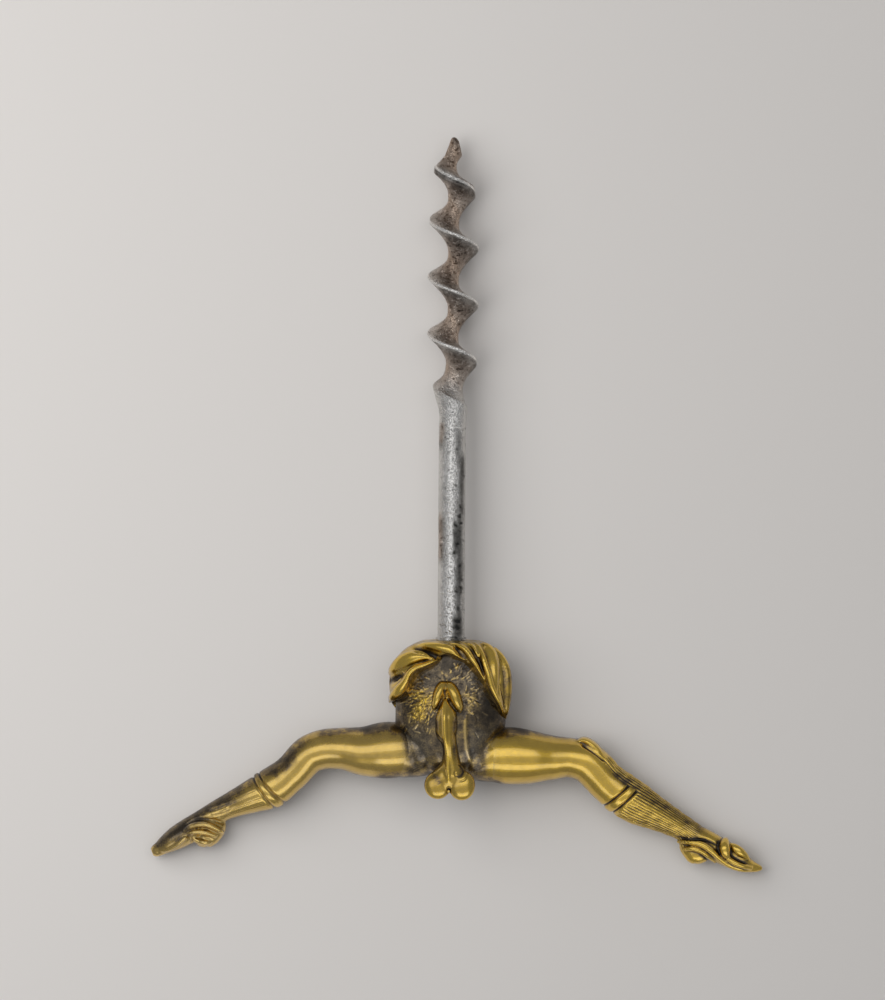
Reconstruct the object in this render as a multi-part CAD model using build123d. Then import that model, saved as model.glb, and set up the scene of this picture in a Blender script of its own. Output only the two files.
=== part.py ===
from build123d import *
import os
from math import ceil, cos, pi, radians, sin

# Antique direct-pull corkscrew: a steel screw set in a brass handle cast as the lower half of a figure.
# Millimetres. Origin on the screw axis at the shank's seat, +Y towards the point, +Z towards the
# figure's front. Left and right are as seen from the front.

# Steel screw
SHANK_DIAMETER = 5.0
SHANK_LENGTH = 40.0
SHOULDER_DIAMETER = 5.7
SHOULDER_HEIGHT = 0.7
TANG_DIAMETER = 3.4
TANG_LENGTH = 13.0
WORM_LENGTH = 53.0
WORM_PITCH = 10.5
WORM_DIAMETER = 9.5
WORM_CORE_DIAMETER = 2.3
FIRST_CREST = 46.35
SECTIONS_PER_TURN = 15

# Blade section: share of the pitch from the crest towards the point, and height above the core from 0 to 1
BLADE_SECTION = [(0.0, 1.06), (0.04, 0.84), (0.09, 0.56), (0.15, 0.28), (0.24, 0.07), (0.34, 0.0),
                 (0.44, 0.0), (0.53, 0.02), (0.63, 0.11), (0.72, 0.29), (0.82, 0.54), (0.90, 0.78),
                 (0.96, 0.97)]
# Along the worm from 0 to 1: the outer limit as a share of the worm's radius, and the taper of the core
BLADE_LIMIT = [(0.0, 0.52), (0.12, 0.75), (0.25, 0.96), (0.38, 1.0), (0.57, 1.0), (0.74, 0.88), (0.90, 0.78),
               (0.95, 0.52), (0.985, 0.26), (1.0, 0.10)]
CORE_TAPER = [(0.0, 1.0), (0.10, 0.55), (0.23, 0.0), (1.0, 0.0)]

# Torso and shirt: height, half width, front and back
TORSO_RINGS = [(-1.5, 6.0, 4.4, -4.4), (-5.0, 8.4, 5.4, -5.2), (-10.0, 9.5, 6.2, -5.8),
               (-15.0, 9.3, 5.8, -6.0), (-20.0, 8.2, 5.0, -6.0), (-23.5, 6.4, 3.8, -5.0),
               (-25.2, 4.0, 2.4, -3.4)]
SHIRT_RINGS = [(0.0, 6.6, 5.0, -4.6), (-1.5, 8.9, 6.6, -5.7), (-4.5, 10.4, 7.8, -6.3),
               (-8.5, 11.3, 8.4, -6.6), (-12.5, 11.2, 8.2, -6.6), (-16.5, 10.6, 7.8, -6.5)]
FOLD_COUNT = 9
FOLD_HEIGHT = 0.035
FOLD_SLANT = 11.0
FOLD_POINTS = 5
SHIRT_LEFT_HEM = -14.2
SHIRT_RIGHT_HEM = -15.6
SHIRT_EDGE = [(-10.9, -13.0), (-8.7, -10.3), (-7.1, -6.4), (-2.1, -3.3), (2.4, -3.0), (5.6, -6.2),
              (7.7, -9.8), (9.7, -12.4), (10.1, -16.0)]
BUTTOCK_RADIUS = 4.2
BUTTOCK_PLACE = (4.2, -18.6, -3.0)
BUTTOCK_RINGS = 6

# Relief on the belly: x, height, half width, middle depth and half depth. Its head is a fold of two halves
STEM_RINGS = [(-0.1, -26.5, 2.4, 4.2, 2.4), (0.0, -20.5, 1.2, 5.5, 2.2), (-0.5, -16.0, 2.0, 6.0, 2.3),
              (-0.9, -12.5, 1.5, 6.2, 2.1), (-1.1, -10.5, 0.8, 6.2, 1.7)]
LEFT_HEAD_RINGS = [(-3.1, -12.9, 0.5, 5.8, 0.8), (-2.7, -11.4, 1.15, 6.2, 1.7), (-2.2, -9.6, 1.25, 6.4, 1.9),
                   (-1.5, -7.6, 0.4, 6.0, 0.8)]
RIGHT_HEAD_RINGS = [(1.8, -13.2, 0.6, 5.8, 0.8), (1.1, -11.6, 1.4, 6.2, 1.8), (0.4, -9.6, 1.45, 6.4, 2.0),
                    (-0.5, -7.5, 0.5, 6.0, 0.8)]
LOBE_RINGS = [(0.0, -29.6, 0.8, 4.0, 0.9), (0.0, -28.6, 2.0, 4.2, 2.3), (0.1, -26.4, 2.5, 4.4, 3.0),
              (-0.2, -23.9, 1.8, 4.7, 2.4), (-0.6, -22.6, 0.8, 4.9, 1.2)]
LOBE_OFFSET = 2.3

# Legs: hip, knee, ankle and toe. They fall back towards the feet, on which the handle lies
LEFT_LEG = [(-6.5, -20.2, -0.8), (-25.4, -20.7, -2.6), (-42.0, -31.1, -4.9), (-55.1, -38.9, -6.1)]
RIGHT_LEG = [(6.5, -20.8, -0.8), (24.6, -21.9, -2.6), (43.3, -33.9, -4.9), (57.9, -41.8, -6.1)]
# Rings across the leg: place from 0 to 1 along its stretch, width, depth and bow towards the calf
THIGH_RINGS = [(-0.08, 10.6, 9.6, 0.0), (0.30, 10.4, 9.5, 0.0), (0.62, 8.6, 8.3, 0.0), (0.85, 7.4, 7.4, 0.0)]
SHIN_RINGS = [(0.0, 7.6, 7.2, 0.0), (0.26, 7.2, 6.8, 1.0), (0.46, 7.7, 7.0, 1.3), (0.68, 6.6, 6.3, 1.0),
              (0.88, 4.8, 4.7, 0.3)]
FOOT_RINGS = [(0.0, 4.2, 4.0, 0.0), (0.16, 4.9, 4.3, 0.7), (0.36, 5.2, 4.9, 0.85), (0.62, 4.6, 5.4, 0.65),
              (0.80, 4.0, 4.9, 0.65), (0.93, 2.4, 3.4, 0.5), (0.99, 0.9, 1.5, 0.2)]
RING_STEPS = 2
# Heel block in the foot's plane: distance ahead of the ankle and below it
HEEL_OUTLINE = [(0.9, 2.6), (1.4, 3.7), (5.2, 5.1), (6.5, 5.0), (7.6, 3.3), (4.5, 1.0)]
HEEL_DEPTH = 3.4
HEEL_ROUNDING = 0.5
GARTER_PLACES = [0.40, 0.48]
GARTER_BAND = 0.7
GARTER_RISE = 0.25
STRAP_PLACE = 0.36
STRAP_BAND = 1.5
STRAP_RISE = 0.3
BOW_PLACE = 0.50
BOW_SIZE = (2.6, 1.5, 3.2)
# Flap of the stocking above the right knee, as rings across the shin
FLAP_RINGS = [(-0.13, 0.8, 3.0, -2.6), (-0.06, 1.6, 4.6, -3.2), (0.03, 1.8, 4.8, -3.2), (0.10, 1.4, 4.2, -2.9),
              (0.15, 0.6, 2.6, -2.5)]

# Fixings
TENON_DIAMETER = 5.0
TENON_LENGTH = 4.0
PIN_DIAMETER = 1.5
PIN_HEIGHT = -8.0
PIN_FRONT = 2.6

# Sides of the rings that the cast brass is lofted through
RING_SIDES = 16
# Larger than the handle, for cutting away whole regions
REACH = 40.0


def interpolate(rows, place):
    """Values at a place between two rows of a table, whose first column is the place."""
    for low, high in zip(rows, rows[1:]):
        if low[0] <= place <= high[0]:
            share = (place - low[0]) / (high[0] - low[0])
            return [a + share * (b - a) for a, b in zip(low[1:], high[1:])]
    return list(rows[-1][1:])


def smoothed(rows, steps):
    """Rows with more rows between them, on smooth curves through the given ones."""
    ends = [rows[0]] + list(rows) + [rows[-1]]
    result = []
    for before, low, high, after in zip(ends, ends[1:], ends[2:], ends[3:]):
        for step in range(steps):
            t = step / steps
            row = []
            for a, b, c, d in zip(before, low, high, after):
                curve = (2 * a - 5 * b + 4 * c - d) * t + (3 * b - a - 3 * c + d) * t * t
                row.append(b + t * (c - a + curve) / 2)
            result.append(row)
    return result + [list(rows[-1])]


def oval(half_width, half_depth):
    """Ellipse with straight sides, which keeps the lofts light."""
    points = []
    for index in range(RING_SIDES):
        turn = 2 * pi * index / RING_SIDES
        points.append((half_width * cos(turn), half_depth * sin(turn)))
    return make_face(Polyline(*points, close=True))


def ring_across(height, half_width, front, back, x=0.0):
    """Oval square to the screw axis."""
    middle = (front + back) / 2
    plane = Plane(origin=(x, height, middle), x_dir=(1, 0, 0), z_dir=(0, -1, 0))
    return plane * oval(half_width, (front - back) / 2)


def folded_ring(height, half_width, front, back):
    """Oval square to the screw axis, waved by the folds of the cloth."""
    points = []
    count = FOLD_COUNT * FOLD_POINTS
    for index in range(count):
        turn = 2 * pi * index / count
        wave = 1 + FOLD_HEIGHT * cos(FOLD_COUNT * turn + radians(FOLD_SLANT * height))
        depth = (front + back) / 2 + wave * (front - back) / 2 * sin(turn)
        points.append((wave * half_width * cos(turn), height, depth))
    return make_face(Polyline(*points, close=True))


def round_bar(diameter, bottom, top):
    bar = Cylinder(diameter / 2, top - bottom, align=(Align.CENTER, Align.CENTER, Align.MIN))
    return Rot(-90, 0, 0) * Pos(0, 0, bottom) * bar


def make_tang_pin_bar():
    bar = Cylinder(PIN_DIAMETER / 2, REACH, align=(Align.CENTER, Align.CENTER, Align.MAX))
    return Pos(0, PIN_HEIGHT, PIN_FRONT) * bar


def worm_section(place):
    """Points round the worm at a place along it, with the crest turned left-handed as the height grows."""
    height = SHANK_LENGTH + place * WORM_LENGTH
    outer = WORM_DIAMETER / 2
    limit = outer * interpolate(BLADE_LIMIT, place)[0]
    thin = WORM_CORE_DIAMETER / 2
    core = thin + (SHANK_DIAMETER / 2 - thin) * interpolate(CORE_TAPER, place)[0]
    points = []
    for distance, rise in BLADE_SECTION:
        turn = pi + 2 * pi * ((height - FIRST_CREST) / WORM_PITCH - distance)
        radius = min(core + rise * (outer - core), limit)
        points.append((radius * cos(turn), height, radius * sin(turn)))
    return points


def make_worm():
    """Thin left-handed blade wound on a core, its twisted sides made of flat triangles."""
    count = ceil(SECTIONS_PER_TURN * WORM_LENGTH / WORM_PITCH)
    sections = [worm_section(index / count) for index in range(count + 1)]
    faces = [Face(Wire.make_polygon(sections[0])), Face(Wire.make_polygon(sections[-1]))]
    for lower, upper in zip(sections, sections[1:]):
        for index in range(len(lower)):
            faces.append(Face(Wire.make_polygon([lower[index - 1], lower[index], upper[index]])))
            faces.append(Face(Wire.make_polygon([lower[index - 1], upper[index], upper[index - 1]])))
    return Solid(Shell(faces))


def make_steel_screw():
    screw = make_worm() + round_bar(SHANK_DIAMETER, 0, SHANK_LENGTH)
    screw += round_bar(SHOULDER_DIAMETER, 0, SHOULDER_HEIGHT)
    screw += round_bar(TANG_DIAMETER, -TANG_LENGTH, 0)
    return screw - make_tang_pin_bar()


def make_buttock(x, y, z):
    rings = []
    for index in range(BUTTOCK_RINGS):
        turn = pi * (index + 0.5) / BUTTOCK_RINGS
        radius = BUTTOCK_RADIUS * sin(turn)
        rings.append(ring_across(y + BUTTOCK_RADIUS * cos(turn), radius, z + radius, z - radius, x))
    return loft(rings, ruled=True)


def make_body():
    """Torso before its sockets are cut."""
    body = loft([ring_across(*ring) for ring in smoothed(TORSO_RINGS, RING_STEPS)], ruled=True)
    x, y, z = BUTTOCK_PLACE
    return body + make_buttock(-x, y, z) + make_buttock(x, y, z)


def make_tenon(points):
    hip, knee = [Vector(*point) for point in points[:2]]
    plane = Plane(origin=hip, z_dir=knee - hip)
    return extrude(plane * oval(TENON_DIAMETER / 2, TENON_DIAMETER / 2), TENON_LENGTH / 2, both=True)


def make_torso(body):
    torso = body - round_bar(TANG_DIAMETER, -TANG_LENGTH, SHOULDER_HEIGHT)
    torso -= make_tang_pin_bar()
    for points in (LEFT_LEG, RIGHT_LEG):
        torso -= make_tenon(points)
    return torso


def make_cloth():
    """Shirt as a solid block of folded cloth, before it is hollowed."""
    return loft([folded_ring(*ring) for ring in SHIRT_RINGS], ruled=True)


def make_shirt(cloth, body):
    edge = Spline(*SHIRT_EDGE)
    opening = make_face(edge + Polyline(edge @ 1, (REACH, -REACH), (-REACH, -REACH), edge @ 0))
    shirt = cloth - body - extrude(opening, REACH)
    slope = (SHIRT_RIGHT_HEM - SHIRT_LEFT_HEM) / (2 * SHIRT_RINGS[-1][1])
    middle = (SHIRT_RIGHT_HEM + SHIRT_LEFT_HEM) / 2
    below = Polyline((-REACH, middle - slope * REACH), (REACH, middle + slope * REACH), (REACH, -2 * REACH),
                     (-REACH, -2 * REACH), close=True)
    shirt -= extrude(make_face(below), REACH, both=True)
    shirt -= round_bar(TANG_DIAMETER, -TANG_LENGTH, SHOULDER_HEIGHT)
    return shirt - make_tang_pin_bar()


def relief_stretch(rings, side=1, offset=0.0):
    ovals = []
    for x, height, half_width, middle, half_depth in smoothed(rings, RING_STEPS):
        front, back = middle + half_depth, middle - half_depth
        ovals.append(ring_across(height, half_width, front, back, side * (x + offset)))
    return loft(ovals, ruled=True)


def make_front_relief(body):
    relief = relief_stretch(STEM_RINGS) + relief_stretch(LEFT_HEAD_RINGS) + relief_stretch(RIGHT_HEAD_RINGS)
    for side in (-1, 1):
        relief += relief_stretch(LOBE_RINGS, side, LOBE_OFFSET)
    return relief - body


def across_limb(start, end):
    """Direction across a stretch of the leg in the plane of the handle, towards the screw."""
    across = Vector(0, 0, 1).cross(end - start).normalized()
    return across if across.Y > 0 else -across


def limb_rows(start, end, rings):
    """Middle, width and depth of the rings of one stretch, moved by the bow towards the underside."""
    across = across_limb(start, end)
    rows = []
    for place, width, depth, bow in rings:
        middle = start + (end - start) * place - across * bow
        rows.append((middle.X, middle.Y, middle.Z, width, depth))
    return rows


def limb_loft(rows):
    """Ovals square to the line of their middles, joined by straight faces."""
    rows = smoothed(rows, RING_STEPS)
    middles = [Vector(*row[:3]) for row in rows]
    rings = []
    for index, row in enumerate(rows):
        before = middles[max(index - 1, 0)]
        after = middles[min(index + 1, len(rows) - 1)]
        plane = Plane(origin=middles[index], x_dir=across_limb(before, after), z_dir=after - before)
        rings.append(plane * oval(row[3] / 2, row[4] / 2))
    return loft(rings, ruled=True)


def band(start, end, rings, place, rise, length):
    """Raised band round a stretch of the leg."""
    width, depth, bow = interpolate(rings, place)
    across = across_limb(start, end)
    plane = Plane(origin=start + (end - start) * place - across * bow, x_dir=across, z_dir=end - start)
    return extrude(plane * oval(width / 2 + rise, depth / 2 + rise), length / 2, both=True)


def make_heel(ankle, toe):
    along = Vector(toe.X - ankle.X, toe.Y - ankle.Y, 0).normalized()
    down = -across_limb(ankle, toe)
    corners = [ankle + along * ahead + down * below for ahead, below in HEEL_OUTLINE]
    heel = extrude(make_face(Polyline(*corners, close=True)), HEEL_DEPTH / 2, both=True)
    return chamfer(heel.edges().filter_by(Axis.Z), HEEL_ROUNDING)


def make_shoe_strap(ankle, toe):
    strap = band(ankle, toe, FOOT_RINGS, STRAP_PLACE, STRAP_RISE, STRAP_BAND)
    width, depth, bow = interpolate(FOOT_RINGS, BOW_PLACE)
    across = across_limb(ankle, toe)
    top = ankle + (toe - ankle) * BOW_PLACE + across * (width / 2 - bow)
    plane = Plane(origin=top, x_dir=toe - ankle, z_dir=(toe - ankle).cross(across))
    bow_block = plane * Box(*BOW_SIZE)
    return strap + chamfer(bow_block.edges(), BOW_SIZE[1] / 4)


def make_leg(points, body, flapped):
    hip, knee, ankle, toe = [Vector(*point) for point in points]
    rows = limb_rows(hip, knee, THIGH_RINGS)
    rows += limb_rows(knee, ankle, SHIN_RINGS)
    rows += limb_rows(ankle, toe, FOOT_RINGS)
    leg = limb_loft(rows) - body
    for place in GARTER_PLACES:
        leg += band(knee, ankle, SHIN_RINGS, place, GARTER_RISE, GARTER_BAND)
    if flapped:
        leg += limb_loft(limb_rows(knee, ankle, FLAP_RINGS))
    leg += make_heel(ankle, toe)
    leg += make_shoe_strap(ankle, toe)
    return leg + make_tenon(points)


def main():
    os.makedirs("parts", exist_ok=True)
    body = make_body()
    cloth = make_cloth()
    parts = {
        "steel_screw": make_steel_screw(),
        "torso": make_torso(body),
        "shirt": make_shirt(cloth, body),
        "front_relief": make_front_relief(body),
        "left_leg": make_leg(LEFT_LEG, body, False),
        "right_leg": make_leg(RIGHT_LEG, body, True),
        "tang_pin": make_tang_pin_bar() & cloth,
    }
    for name, shape in parts.items():
        print(name, len(shape.solids()), "solids", round(shape.volume, 2), "mm3", shape.is_valid)
        export_step(shape, f"parts/{name}.step")


if __name__ == "__main__":
    main()
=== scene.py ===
import math

import bmesh
import bpy
import numpy as np
from mathutils import Matrix, Vector


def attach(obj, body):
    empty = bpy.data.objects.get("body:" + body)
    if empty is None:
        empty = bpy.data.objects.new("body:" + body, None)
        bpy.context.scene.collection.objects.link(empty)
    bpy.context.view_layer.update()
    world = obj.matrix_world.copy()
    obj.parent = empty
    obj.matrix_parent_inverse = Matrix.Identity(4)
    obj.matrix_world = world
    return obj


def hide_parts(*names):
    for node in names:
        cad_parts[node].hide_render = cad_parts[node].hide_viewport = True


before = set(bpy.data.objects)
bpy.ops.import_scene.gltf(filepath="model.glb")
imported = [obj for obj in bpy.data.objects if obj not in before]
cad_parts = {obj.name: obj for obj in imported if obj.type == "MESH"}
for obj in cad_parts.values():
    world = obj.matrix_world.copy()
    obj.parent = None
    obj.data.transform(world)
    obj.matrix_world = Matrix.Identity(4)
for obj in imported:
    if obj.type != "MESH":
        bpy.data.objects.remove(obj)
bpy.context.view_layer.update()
MM = 0.001
UP = np.array([0.0, 0.0, 1.0])

# All shapes below are in millimetres in the frame's own axes, and become metres when they are finished.

# View: the camera looks straight down on a middle that lies this far from the frame's origin
IMAGE_HEIGHT = 185.0
IMAGE_MIDDLE = (-1.74, 26.07)
CAMERA_HEIGHT = 2500.0
CAMERA_ROLL = math.radians(0.37)
SENSOR = 36.0

# The table touches the shoes and the worm: place along the screw and height of both contacts
TABLE_AT_SHOES = (-38.5, -8.35)
TABLE_AT_WORM = (70.0, -4.85)
# Floor: half its side in metres, and its colour
FLOOR_HALF = 3.0
FLOOR_COLOUR = (0.67, 0.64, 0.612, 1)

# Steel screw
SHANK_RADIUS = 2.5
SHANK_END = 40.0
SHOULDER_RADIUS = 2.85
SHOULDER_END = 0.7
WORM_PITCH = 10.5
WORM_RADIUS = 4.75
CORE_RADIUS = 1.0
FIRST_CREST = 46.35
POINT = 93.2
# Rows of points along the shank and the worm
SHANK_ROWS = 240
WORM_ROWS = 560
# Distances past the shank over which the worm's lean, tone and rust begin
LEAN_BEGINS = (0, 3)
TONE_BEGINS = (4, 10)
RUST_BEGINS = (3, 12)
# Blade section: share of the pitch from the crest towards the point, and height above the core from 0 to 1
BLADE = [(0.0, 1.04), (0.025, 0.97), (0.06, 0.72), (0.11, 0.42), (0.17, 0.19), (0.25, 0.05), (0.36, 0.0),
         (0.5, 0.0), (0.6, 0.06), (0.7, 0.2), (0.8, 0.43), (0.89, 0.7), (0.955, 0.92), (0.985, 1.0),
         (1.0, 1.04)]
# The same shares with the brightness of the steel and its rust; the bright crests are worn steel with a
# painted highlight, and the darker faces towards the handle are painted shade
BLADE_WEAR_AND_PAINTED_LIGHT = [(0.0, 1.2), (0.015, 1.1), (0.035, 0.62), (0.11, 0.56), (0.25, 0.64), (0.45, 0.7), (0.6, 0.6),
              (0.75, 0.46), (0.88, 0.4), (0.96, 0.46), (0.985, 1.0), (1.0, 1.2)]
BLADE_RUST = [(0.0, 0.0), (0.05, 0.35), (0.2, 0.8), (0.5, 0.9), (0.65, 0.65), (0.85, 0.4), (0.96, 0.1),
              (1.0, 0.0)]
# Place along the screw, outer limit, core radius and lean of the middle line
WORM_LIMITS = [(SHANK_END, SHANK_RADIUS, SHANK_RADIUS, 0.1), (43.0, 2.7, 2.3, 0.1),
               (46.35, 3.55, 1.85, 0.0), (51.0, 4.4, 1.3, 0.0), (55.0, 4.75, CORE_RADIUS, 0.0),
               (75.0, 4.75, CORE_RADIUS, 0.0), (80.0, 4.2, CORE_RADIUS, 0.0),
               (84.5, 3.9, CORE_RADIUS, -0.1), (87.8, 3.0, 1.05, -0.6), (88.7, 2.3, 1.0, -0.4),
               (89.8, 1.6, 1.0, -0.1), (91.2, 1.2, 0.95, 0.0), (92.4, 0.85, 0.8, 0.05),
               (93.0, 0.5, 0.5, 0.0), (POINT, 0.12, 0.12, 0.0)]

# Rows of the limbs and lumps: x, y, z, half width across the line and half depth
RIGHT_LEG = [(4.6, -20.8, -0.7, 0.6, 0.6), (4.9, -20.8, -0.7, 2.6, 2.4), (5.8, -20.9, -0.75, 3.9, 3.5),
             (7.2, -21.0, -0.85, 4.75, 4.25), (9.0, -21.1, -1.0, 5.15, 4.7), (11.5, -21.2, -1.2, 5.3, 4.9),
             (14.5, -21.4, -1.5, 5.0, 4.8), (18.6, -21.5, -2.0, 4.2, 4.2), (22.1, -21.5, -2.4, 3.7, 3.8),
             (24.6, -22.0, -2.6, 3.8, 3.7), (29.3, -26.2, -3.1, 3.7, 3.4), (31.6, -28.0, -3.4, 3.9, 3.5),
             (34.9, -30.1, -3.8, 3.75, 3.4), (37.8, -31.6, -4.2, 3.15, 3.0), (41.1, -33.3, -4.6, 2.55, 2.5),
             (43.1, -34.4, -4.9, 2.3, 2.2), (45.3, -35.9, -5.0, 2.3, 2.2), (47.6, -37.2, -5.2, 2.4, 2.3),
             (50.2, -38.6, -5.5, 2.3, 2.4), (52.5, -39.8, -5.65, 2.2, 2.4), (54.6, -41.0, -5.8, 1.7, 2.0),
             (56.3, -41.6, -6.0, 1.05, 1.3), (57.4, -41.8, -6.05, 0.65, 0.75),
             (58.0, -41.85, -6.05, 0.3, 0.35)]
RIGHT_HEEL = [(44.3, -35.6, -5.0, 1.7, 1.4), (44.9, -37.3, -5.1, 2.4, 1.8), (45.7, -38.8, -5.2, 2.4, 1.8),
              (46.3, -39.9, -5.3, 2.1, 1.7), (46.6, -40.6, -5.3, 1.5, 1.3), (46.7, -40.95, -5.3, 0.8, 0.7)]
KNEE_FLAP = [(23.2, -18.5, -2.0, 0.3, 1.5), (24.6, -18.3, -2.2, 0.75, 2.2), (26.6, -19.4, -2.4, 0.9, 2.4),
             (28.2, -21.1, -2.7, 0.6, 2.0), (29.0, -22.3, -2.8, 0.2, 1.2)]
# Straps, knot, tongue and rims of the shoes: x, y, rise above the shoe's front, half width and half depth
RIGHT_STRAP = [(42.4, -37.0, -0.15, 0.3, 0.4), (44.1, -36.9, 0.1, 0.55, 0.65), (46.6, -37.4, 0.2, 0.6, 0.7),
               (48.5, -38.6, 0.2, 0.6, 0.7), (49.9, -39.9, 0.15, 0.55, 0.65), (51.7, -41.2, 0.0, 0.5, 0.6),
               (54.2, -42.1, -0.15, 0.4, 0.5), (56.9, -42.2, -0.3, 0.25, 0.35)]
RIGHT_HEEL_STRAP = [(43.4, -38.3, -0.1, 0.35, 0.45), (45.0, -38.2, 0.1, 0.5, 0.6),
                    (46.6, -38.7, 0.15, 0.5, 0.6), (48.0, -39.7, 0.05, 0.45, 0.55),
                    (49.2, -40.7, -0.15, 0.3, 0.4)]
RIGHT_KNOT = [(51.3, -36.4, -0.1, 0.3, 0.4), (51.0, -37.1, 0.4, 0.85, 0.8), (50.9, -38.1, 0.5, 1.0, 0.9),
              (51.2, -39.1, 0.3, 0.85, 0.7), (51.8, -40.0, -0.1, 0.3, 0.4)]
RIGHT_TONGUE = [(52.0, -37.4, -0.1, 0.4, 0.5), (52.8, -38.0, 0.3, 0.8, 0.8), (53.7, -38.7, 0.35, 0.9, 0.9),
                (54.6, -39.4, 0.25, 0.7, 0.7), (55.5, -40.2, -0.1, 0.3, 0.4)]
RIGHT_RIM = [(51.4, -40.0, 0.0, 0.4, 0.5), (52.8, -40.8, 0.2, 0.55, 0.6), (54.4, -41.4, 0.15, 0.5, 0.6),
             (56.0, -41.8, -0.05, 0.4, 0.45)]
RIGHT_STRAPS = (RIGHT_STRAP, RIGHT_HEEL_STRAP, RIGHT_KNOT, RIGHT_TONGUE, RIGHT_RIM)
LEFT_STRAP = [(-49.2, -35.6, -0.1, 0.3, 0.4), (-48.4, -34.9, 0.2, 0.45, 0.6),
              (-47.0, -34.4, 0.3, 0.55, 0.7), (-45.4, -34.3, 0.3, 0.55, 0.7),
              (-43.8, -34.8, 0.25, 0.5, 0.6), (-42.5, -35.5, 0.1, 0.4, 0.5), (-41.9, -36.0, -0.1, 0.2, 0.3)]
LEFT_HEEL_STRAP = [(-48.6, -36.0, -0.1, 0.3, 0.4), (-47.0, -35.7, 0.2, 0.5, 0.6),
                   (-45.0, -35.9, 0.25, 0.52, 0.6), (-43.2, -36.5, 0.0, 0.35, 0.4)]
LEFT_LOW_STRAP = [(-47.8, -36.9, -0.2, 0.3, 0.4), (-46.6, -37.4, 0.1, 0.5, 0.55),
                  (-45.3, -37.7, 0.1, 0.5, 0.55), (-44.2, -37.7, -0.1, 0.3, 0.4)]
LEFT_RIM = [(-54.4, -39.2, -0.3, 0.2, 0.3), (-52.6, -39.2, -0.1, 0.32, 0.4),
            (-50.9, -38.4, 0.05, 0.4, 0.45), (-49.5, -37.3, 0.1, 0.4, 0.45),
            (-48.5, -36.4, 0.0, 0.25, 0.35)]
LEFT_STRAPS = (LEFT_STRAP, LEFT_HEEL_STRAP, LEFT_LOW_STRAP, LEFT_RIM)
LEFT_LEG = [(-5.2, -20.0, -0.7, 0.6, 0.6), (-5.5, -20.0, -0.7, 2.6, 2.4), (-6.4, -20.1, -0.75, 3.9, 3.5),
            (-7.8, -20.2, -0.85, 4.7, 4.25), (-9.6, -20.2, -1.0, 5.1, 4.7), (-11.9, -20.3, -1.3, 5.25, 4.9),
            (-15.8, -20.5, -1.7, 4.65, 4.5), (-20.0, -20.1, -2.1, 3.9, 4.0), (-23.7, -20.3, -2.4, 3.7, 3.7),
            (-25.5, -20.9, -2.6, 3.6, 3.6), (-29.6, -24.8, -3.1, 3.45, 3.3), (-33.5, -27.7, -3.6, 3.7, 3.4),
            (-36.5, -29.0, -4.0, 3.15, 3.1), (-40.0, -30.5, -4.5, 2.5, 2.5),
            (-42.1, -31.5, -4.85, 2.25, 2.2), (-44.0, -32.7, -5.0, 2.25, 2.1),
            (-46.4, -34.4, -5.2, 2.4, 2.3), (-48.8, -35.8, -5.5, 2.35, 2.5),
            (-50.9, -37.05, -5.7, 2.15, 2.4), (-52.8, -38.25, -5.9, 1.65, 1.9),
            (-53.9, -39.0, -6.0, 1.3, 1.3), (-54.7, -39.4, -6.05, 1.1, 1.05),
            (-55.2, -39.6, -6.05, 0.75, 0.7)]
LEFT_HEEL = [(-43.0, -33.0, -5.0, 1.6, 1.4), (-43.6, -34.4, -5.0, 2.3, 1.9),
             (-44.5, -35.9, -5.2, 2.35, 1.9), (-45.4, -37.2, -5.3, 1.95, 1.8),
             (-45.9, -38.1, -5.3, 1.3, 1.3), (-46.0, -38.5, -5.3, 0.6, 0.7)]
TRUNK = [(0, 0.0, 0.0, 5.0, 4.0), (0, -2.0, 0.0, 8.0, 4.8), (0, -5.0, 0.1, 9.2, 5.3),
         (0, -9.0, 0.1, 9.9, 5.7), (0, -13.0, 0.0, 10.2, 5.8), (0, -17.0, -0.3, 9.9, 5.6),
         (0, -20.5, -0.5, 8.4, 5.2), (0, -23.0, -0.7, 6.0, 4.4), (0, -24.4, -0.8, 3.6, 3.2),
         (0, -25.0, -0.8, 1.0, 1.0)]
HIP = [(1.0, -19.8, -0.6, 4.4, 4.3), (4.0, -20.4, -0.7, 5.0, 4.5), (6.0, -20.8, -0.8, 5.15, 4.5),
       (8.0, -21.0, -0.95, 5.1, 4.45), (9.8, -21.1, -1.1, 4.95, 4.4), (11.2, -21.2, -1.2, 4.5, 4.0),
       (12.2, -21.2, -1.3, 3.4, 3.0), (12.7, -21.2, -1.3, 1.5, 1.4)]
# The left hip sits this much higher
HIP_STEP = 0.8
SHAFT = [(0.1, -24.5, 4.6, 2.6, 2.2), (0.15, -22.6, 4.9, 1.9, 2.1), (0.1, -20.9, 5.4, 1.5, 2.0),
         (-0.1, -19.3, 5.8, 1.4, 2.1), (-0.35, -18.2, 6.0, 1.55, 2.2), (-0.7, -17.0, 6.1, 2.0, 2.3),
         (-0.75, -15.2, 6.3, 2.05, 2.4), (-0.75, -13.6, 6.4, 1.95, 2.3), (-0.85, -12.2, 6.5, 1.4, 1.7),
         (-1.0, -11.0, 6.5, 0.7, 1.2), (-1.05, -10.3, 6.4, 0.2, 0.4)]
CAP_LEFT = [(-1.3, -7.5, 5.7, 0.5, 0.5), (-1.6, -8.2, 6.2, 0.95, 1.3), (-2.25, -9.7, 6.5, 1.05, 1.7),
            (-2.7, -11.2, 6.4, 0.85, 1.5), (-3.0, -12.2, 6.1, 0.55, 1.0), (-3.1, -12.8, 5.9, 0.2, 0.4)]
CAP_RIGHT = [(-0.8, -7.5, 5.7, 0.5, 0.5), (-0.2, -8.3, 6.2, 1.05, 1.4), (0.6, -9.7, 6.5, 1.2, 1.8),
             (1.2, -11.3, 6.4, 1.1, 1.6), (1.65, -12.4, 6.1, 0.8, 1.1), (1.8, -13.1, 5.8, 0.3, 0.4)]
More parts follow.
